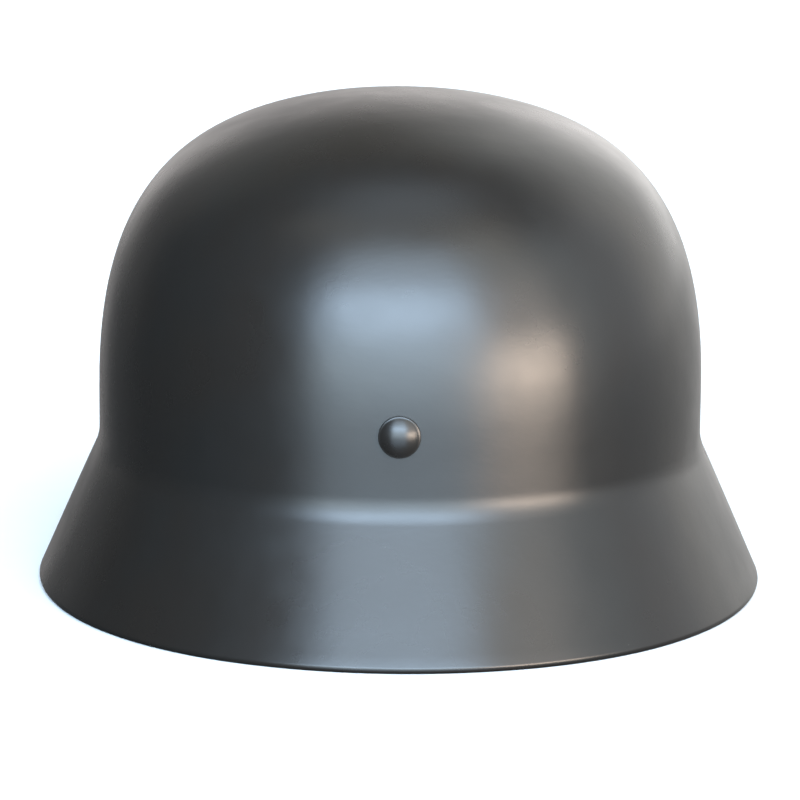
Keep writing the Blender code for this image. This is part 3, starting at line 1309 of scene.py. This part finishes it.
@dataclass
class Rivet(Fastener):
    """Domed split pin: head outside, shank through the wall, two legs spread inside."""

    head_diameter: float = 12.7 * MM
    head_height: float = 3.0 * MM
    head_edge: float = 0.5 * MM
    edge_round: float = 0.35 * MM
    head_stand: float = 0.3 * MM
    seat: float = 0.04 * MM
    lip_inset: float = 0.2 * MM
    lip_depth: float = 0.05 * MM
    shank_diameter: float = 4.6 * MM
    leg_length: float = 11.0 * MM
    leg_width: float = 3.6 * MM
    leg_thickness: float = 1.0 * MM
    leg_gap: float = 0.3 * MM
    head_rows: int = 14
    edge_rows: int = 5
    leg_stations: int = 25
    leg_bluntness: int = 14
    leg_end_width: float = 0.35
    leg_end_depth: float = 0.45
    leg_corner: float = 0.32 * MM
    corner_limit: float = 0.8
    corner_points: int = 4

    @property
    def leg_middle(self) -> float:
        """Where the legs' middle lies off the outer face."""
        return -(self.shell.wall + self.leg_gap + self.leg_thickness / 2.0)

    def cutter(self) -> bpy.types.Object:
        """Cutter for the rivet's hole."""
        return self.hole(self.shank_diameter)

    def profile(self) -> list[tuple[float, float]]:
        """Profile of head and shank, from the shank's end up to the crest.

        Returns:
            Pairs of radius and height.
        """
        radius = self.head_diameter / 2.0
        dome = self.head_height - self.head_edge
        ball = (radius**2 + dome**2) / (2.0 * dome)
        crest = self.head_stand + self.head_height
        widest = math.asin((radius - self.edge_round) / ball)
        points = []
        for index in range(self.head_rows + 1):
            swing = widest * index / self.head_rows
            points.append((ball * math.sin(swing), crest - ball * (1.0 - math.cos(swing))))
        start = points[-1][1]
        for index in range(1, self.edge_rows + 1):
            swing = QUARTER_TURN * index / self.edge_rows
            out = radius - self.edge_round * (1.0 - math.sin(swing))
            points.append((out, start - self.edge_round * (1.0 - math.cos(swing))))
        shank = self.shank_diameter / 2.0
        end = self.leg_middle
        points += [(radius, self.seat), (radius - self.lip_inset, self.seat - self.lip_depth)]
        points += [(shank, self.seat), (shank, end), (0.0, end)]
        return points[::-1]

    def legs(self) -> bpy.types.Object:
        """The two clinched legs as one bar that follows the inner wall.

        Returns:
            The bar, a plain mesh object.
        """
        form = self.shell.form
        rings = []
        for index in range(self.leg_stations):
            share = 2.0 * index / (self.leg_stations - 1) - 1.0
            turned = self.angle + share * self.leg_length / form.dome_radius(self.angle)
            place = form.face_frame(turned, self.height)
            fullness = math.sqrt(max(1.0 - abs(share) ** self.leg_bluntness, 0.0))
            width = self.leg_end_width + (1.0 - self.leg_end_width) * fullness
            depth = self.leg_end_depth + (1.0 - self.leg_end_depth) * fullness
            section = self.leg_section(self.leg_width / 2.0 * width, self.leg_thickness / 2.0 * depth)
            rings.append([place @ point for point in section])
        return new_object(self.name + "_legs", ringed_mesh(self.name + "_legs", rings))

    def leg_section(self, half_width: float, half_depth: float) -> list[Vector]:
        """Rounded section of a leg, across its length.

        Args:
            half_width: Half of its width.
            half_depth: Half of its thickness.

        Returns:
            The section's points.
        """
        corner = min(self.leg_corner, half_depth * self.corner_limit)
        points = []
        for quarter in range(4):
            for step in range(self.corner_points):
                swing = QUARTER_TURN * (quarter + step / (self.corner_points - 1))
                side = 1.0 if quarter in (0, 3) else -1.0
                top = 1.0 if quarter in (0, 1) else -1.0
                across = side * (half_width - corner) + corner * math.cos(swing)
                depth = top * (half_depth - corner) + corner * math.sin(swing)
                points.append(Vector((0.0, across, self.leg_middle + depth)))
        return points

    def build(self) -> bpy.types.Object:
        """Make the rivet.

        Returns:
            The finished piece.
        """
        head = self.lathe.turn(
            self.name + "_head", self.profile(), self.sides, self.frame_matrix, self.paint
        )
        return self.declare(joined(self.name, [head, self.legs()], self.paint), Slot.RIVET)


@dataclass
class VentBushing(Fastener):
    """Bushing pressed through the wall, rounded outside and rolled over inside."""

    flange_diameter: float = 11.0 * MM
    flange_thickness: float = 1.2 * MM
    barrel_diameter: float = 7.2 * MM
    bore_diameter: float = 5.2 * MM
    seat: float = 0.05 * MM
    inner_seat: float = 1.75 * MM
    arch_extra: float = 0.25 * MM
    arch_power: float = 0.8
    inner_bulge: float = 0.85
    arch_rows: int = 14
    bore_rows: int = 4

    def cutter(self) -> bpy.types.Object:
        """Cutter for the bushing's hole."""
        return self.hole(self.barrel_diameter)

    def profile(self) -> list[tuple[float, float]]:
        """Profile of the bushing, once round from its barrel.

        Returns:
            Pairs of radius and height.
        """
        flange = self.flange_diameter / 2.0
        bore = self.bore_diameter / 2.0
        barrel = self.barrel_diameter / 2.0
        middle = (flange + bore) / 2.0
        half = (flange - bore) / 2.0
        outside = []
        inside = []
        for index in range(self.arch_rows + 1):
            swing = math.pi * index / self.arch_rows
            radius = middle + half * math.cos(swing)
            bulge = (self.flange_thickness + self.arch_extra) * math.sin(swing) ** self.arch_power
            outside.append((radius, self.seat + bulge))
            inside.append((radius, -self.inner_seat - bulge * self.inner_bulge))
        bore_points = []
        for index in range(1, self.bore_rows):
            share = index / self.bore_rows
            drop = (self.seat + self.inner_seat) * share
            bore_points.append((bore, self.seat - drop))
        start = [(barrel, -self.inner_seat), (barrel, self.seat)]
        return start + outside + bore_points + inside[::-1] + start[:1]

    def build(self) -> bpy.types.Object:
        """Make the bushing.

        Returns:
            The finished piece.
        """
        made = self.lathe.turn(
            self.name, self.profile(), self.sides, self.frame_matrix, self.paint
        )
        return self.declare(made, Slot.VENT)


@dataclass
class Helmet:
    """The whole helmet: its shell, and where the fasteners sit on it."""

    shell: Shell = field(default_factory=lambda: Shell(Enamel("shell_enamel")))
    rear_rivet_rise: float = 22.8 * MM
    front_rivet_rise: float = 20.0 * MM
    front_rivet_angle: float = 132.0 * DEGREE
    vent_rise: float = 50.0 * MM
    vent_angle: float = 106.0 * DEGREE

    def fasteners(self) -> list[Fastener]:
        """Lay out the rivets and vent bushings.

        Returns:
            The rear rivet, then the front rivets and vents of each side.
        """
        lathe = LatheTree()
        rivet_paint = Enamel("rivet_enamel", **Enamel.on_small_parts()).material()
        vent_paint = Enamel("vent_enamel", **Enamel.on_small_parts()).material()
        shared = (self.shell, lathe)
        laid = [
            Rivet("domed_rivet_rear", "rivet_rear", *shared, rivet_paint, 0.0, self.rear_rivet_rise)
        ]
        for side in Side:
            label = side.name.lower()
            angle = side.value * self.front_rivet_angle
            names = (f"domed_rivet_front_{label}", f"rivet_front_{label}")
            laid.append(Rivet(*names, *shared, rivet_paint, angle, self.front_rivet_rise))
            angle = side.value * self.vent_angle
            names = (f"vent_ring_{label}", f"vent_bushing_{label}")
            laid.append(VentBushing(*names, *shared, vent_paint, angle, self.vent_rise))
        return laid

    def build(self) -> list[bpy.types.Object]:
        """Make every piece.

        Returns:
            The shell, then its fasteners.
        """
        fasteners = self.fasteners()
        made = [self.shell.build([fastener.cutter() for fastener in fasteners])]
        return made + [fastener.build() for fastener in fasteners]


# Studio


@dataclass(frozen=True)
class SoftLight:
    """A soft patch of light in the surroundings, as seen from the helmet, in degrees.

    Azimuth 0 is behind the camera of the photo's view, and it is positive to its right.
    """

    name: str
    azimuth: float
    elevation: float
    half_width: float
    half_height: float
    soft: float
    colour: tuple[float, float, float]


@dataclass
class Studio:
    """Plain pale floor, and surroundings that light the helmet softly."""

    lights: tuple[SoftLight, ...]
    fill: tuple[float, float, float] = (0.02, 0.02, 0.02)
    floor_half: float = 14.0
    floor_tone: float = 0.88
    floor_matt: float = 0.75
    dark_tone: float = 0.04
    floor_gloss: float = 1.0
    floor_roughness: float = 0.22
    grain_scale: float = 90.0
    grain_depth: float = 0.02

    def floor(self) -> bpy.types.Object:
        """Lay the floor: pale to the eye, and a dark polished top in the helmet's reflections.

        Returns:
            The floor.
        """
        mesh = bpy.data.meshes.new("pale_floor")
        half = self.floor_half
        corners = [(-half, -half, 0.0), (half, -half, 0.0), (half, half, 0.0), (-half, half, 0.0)]
        mesh.from_pydata(corners, [], [(0, 1, 2, 3)])
        made = new_object("pale_floor", mesh)
        material = bpy.data.materials.new("pale_floor")
        material.use_nodes = True
        material.node_tree.nodes.clear()
        graph = Graph(material.node_tree)
        place = graph.field("ShaderNodeTexCoord", output="Object")
        noise = {"Vector": place, "Scale": self.grain_scale}
        grain = graph.field("ShaderNodeTexNoise", noise, output="Fac")
        finishes = ((self.floor_tone, self.floor_matt), (self.dark_tone, self.floor_roughness))
        tops = []
        for tone, roughness in finishes:
            shade = grain * self.grain_depth + (tone - self.grain_depth / 2.0)
            inputs = {"Base Color": triple(shade, shade, shade), "Roughness": roughness}
            inputs["Specular IOR Level"] = self.floor_gloss
            tops.append(graph.node("ShaderNodeBsdfPrincipled", inputs).outputs[0])
        ray = graph.field("ShaderNodeLightPath", output="Is Camera Ray")
        mixed = graph.node("ShaderNodeMixShader", {0: ray, 1: tops[1], 2: tops[0]})
        output = graph.node("ShaderNodeOutputMaterial")
        material.node_tree.links.new(mixed.outputs[0], output.inputs["Surface"])
        mesh.materials.append(material)
        return made

    def patch_share(self, light: SoftLight, azimuth: Field, elevation: Field) -> Field:
        """How much a direction lies within a patch.

        Args:
            light: The patch.
            azimuth: The direction's azimuth.
            elevation: Its elevation.

        Returns:
            1 inside the patch, 0 outside, easing at its edge.
        """
        offset = azimuth - light.azimuth * DEGREE
        aside = abs(arc_tangent(sine(offset), cosine(offset)))
        above = abs(elevation - light.elevation * DEGREE)
        soft = light.soft * DEGREE
        across = smooth_step((light.half_width * DEGREE + soft - aside) / (2.0 * soft))
        along = smooth_step((light.half_height * DEGREE + soft - above) / (2.0 * soft))
        return across * along

    def surroundings(self) -> None:
        """Write the world: white where the camera sees it, soft patches for all else."""
        world = bpy.data.worlds.new("studio")
        world.use_nodes = True
        world.node_tree.nodes.clear()
        graph = Graph(world.node_tree)
        direction = unit(graph.field("ShaderNodeTexCoord", output="Object"))
        east, north, rise = (part_of(direction, axis) for axis in range(3))
        azimuth = arc_tangent(-east, north)
        elevation = rise.scalar("ARCSINE", limited(rise, -1.0, 1.0))
        red, green, blue = self.fill
        colour = graph.field("ShaderNodeCombineXYZ", {"X": red, "Y": green, "Z": blue})
        for light in self.lights:
            colour = colour + self.patch_share(light, azimuth, elevation) * Vector(light.colour)
        seen = graph.node("ShaderNodeBackground", {"Color": (1.0, 1.0, 1.0, 1.0), "Strength": 1.0})
        lit = graph.node("ShaderNodeBackground", {"Color": colour, "Strength": 1.0})
        ray = graph.field("ShaderNodeLightPath", output="Is Camera Ray")
        mixed = graph.node(
            "ShaderNodeMixShader", {0: ray, 1: lit.outputs[0], 2: seen.outputs[0]}
        )
        output = graph.node("ShaderNodeOutputWorld")
        world.node_tree.links.new(mixed.outputs[0], output.inputs["Surface"])
        bpy.context.scene.world = world

    def build(self) -> None:
        """Set up floor, surroundings and plain picture tones."""
        self.floor()
        self.surroundings()
        bpy.context.scene.view_settings.view_transform = "Standard"
        bpy.context.scene.view_settings.look = "None"


@dataclass(frozen=True)
class PhotoCamera:
    """Camera at the photo's angle: behind the helmet and a little above it."""

    azimuth: float = -0.035 * DEGREE
    elevation: float = 9.326 * DEGREE
    distance: float = 1.100
    centre: Vector = Vector((0.0, 0.0084, 0.080))
    aim: Vector = Vector((0.00004, 0.0084, 0.05643))
    focal_pixels: float = 3348.2
    image_pixels: float = 800.0
    sensor: float = 36.0
    roll: float = 0.514 * DEGREE
    nearest: float = 0.02
    furthest: float = 60.0

    def build(self) -> bpy.types.Object:
        """Place the camera and make it the scene's.

        Returns:
            The camera.
        """
        back = Vector(
            (
                math.sin(self.azimuth) * math.cos(self.elevation),
                math.cos(self.azimuth) * math.cos(self.elevation),
                math.sin(self.elevation),
            )
        )
        place = self.centre + back * self.distance
        data = bpy.data.cameras.new("photo_camera")
        data.sensor_width = self.sensor
        data.lens = self.focal_pixels / self.image_pixels * self.sensor
        data.clip_start = self.nearest
        data.clip_end = self.furthest
        made = bpy.data.objects.new("photo_camera", data)
        bpy.context.scene.collection.objects.link(made)
        look = (self.aim - place).to_track_quat("-Z", "Y").to_matrix().to_4x4()
        turn = Matrix.Rotation(self.roll, 4, "Z")
        made.matrix_world = Matrix.Translation(place) @ look @ turn
        bpy.context.scene.camera = made
        return made


STUDIO_LIGHTS = (
    SoftLight("window, middle", -1.0, 27.0, 29.0, 9.0, 6.0, (11.0, 14.5, 18.4)),
    SoftLight("window, foot", -1.0, 7.0, 29.0, 11.0, 7.0, (6.2, 7.8, 9.0)),
    SoftLight("window, head", -1.0, 47.0, 29.0, 10.0, 8.0, (4.9, 6.1, 7.3)),
    SoftLight("ceiling above the window", 0.0, 66.0, 80.0, 9.0, 8.0, (0.92, 0.91, 0.83)),
    SoftLight("ceiling", 0.0, 90.0, 180.0, 15.0, 10.0, (1.04, 1.25, 1.45)),
    SoftLight("warm wall, upper part", 46.0, 22.0, 17.0, 14.0, 7.0, (3.7, 3.5, 3.3)),
    SoftLight("warm wall, lower part", 46.0, 0.0, 17.0, 10.0, 7.0, (23.0, 18.9, 15.6)),
    SoftLight("warm wall, by the ceiling", 46.0, 48.0, 18.0, 12.0, 8.0, (2.40, 2.37, 2.17)),
    SoftLight("room to the right, near", 74.0, 16.0, 12.0, 32.0, 7.0, (1.15, 1.35, 1.45)),
    SoftLight("room to the right", 102.0, 16.0, 16.0, 32.0, 9.0, (0.90, 0.95, 1.00)),
    SoftLight("room to the right, far end", 145.0, 16.0, 28.0, 32.0, 12.0, (1.43, 1.43, 1.40)),
    SoftLight("far wall, low", 180.0, 8.0, 25.0, 15.0, 12.0, (1.10, 1.04, 1.02)),
    SoftLight("far wall, high", 180.0, 45.0, 60.0, 18.0, 12.0, (0.14, 0.14, 0.12)),
    SoftLight("room to the left", -85.0, 26.0, 28.0, 34.0, 8.0, (0.06, 0.06, 0.06)),
    SoftLight("room to the left, far end", -148.0, 16.0, 24.0, 30.0, 12.0, (0.20, 0.20, 0.20)),
)


def report(made: bpy.types.Object) -> None:
    """Log a piece's name and size.

    Args:
        made: The piece.
    """
    facets = sum(len(face.vertices) - 2 for face in made.data.polygons)
    extent = ", ".join(f"{value / MM:.1f}" for value in made.dimensions)
    LOG.info("%s: %d triangles, %s mm", made.name, facets, extent)


def main() -> None:
    """Build the helmet's pieces in order, then the studio and the camera."""
    logging.basicConfig(level=logging.INFO, format="%(name)s: %(message)s")
    for made in Helmet().build():
        report(made)
    Studio(STUDIO_LIGHTS).build()
    PhotoCamera().build()


if __name__ == "__main__":
    main()
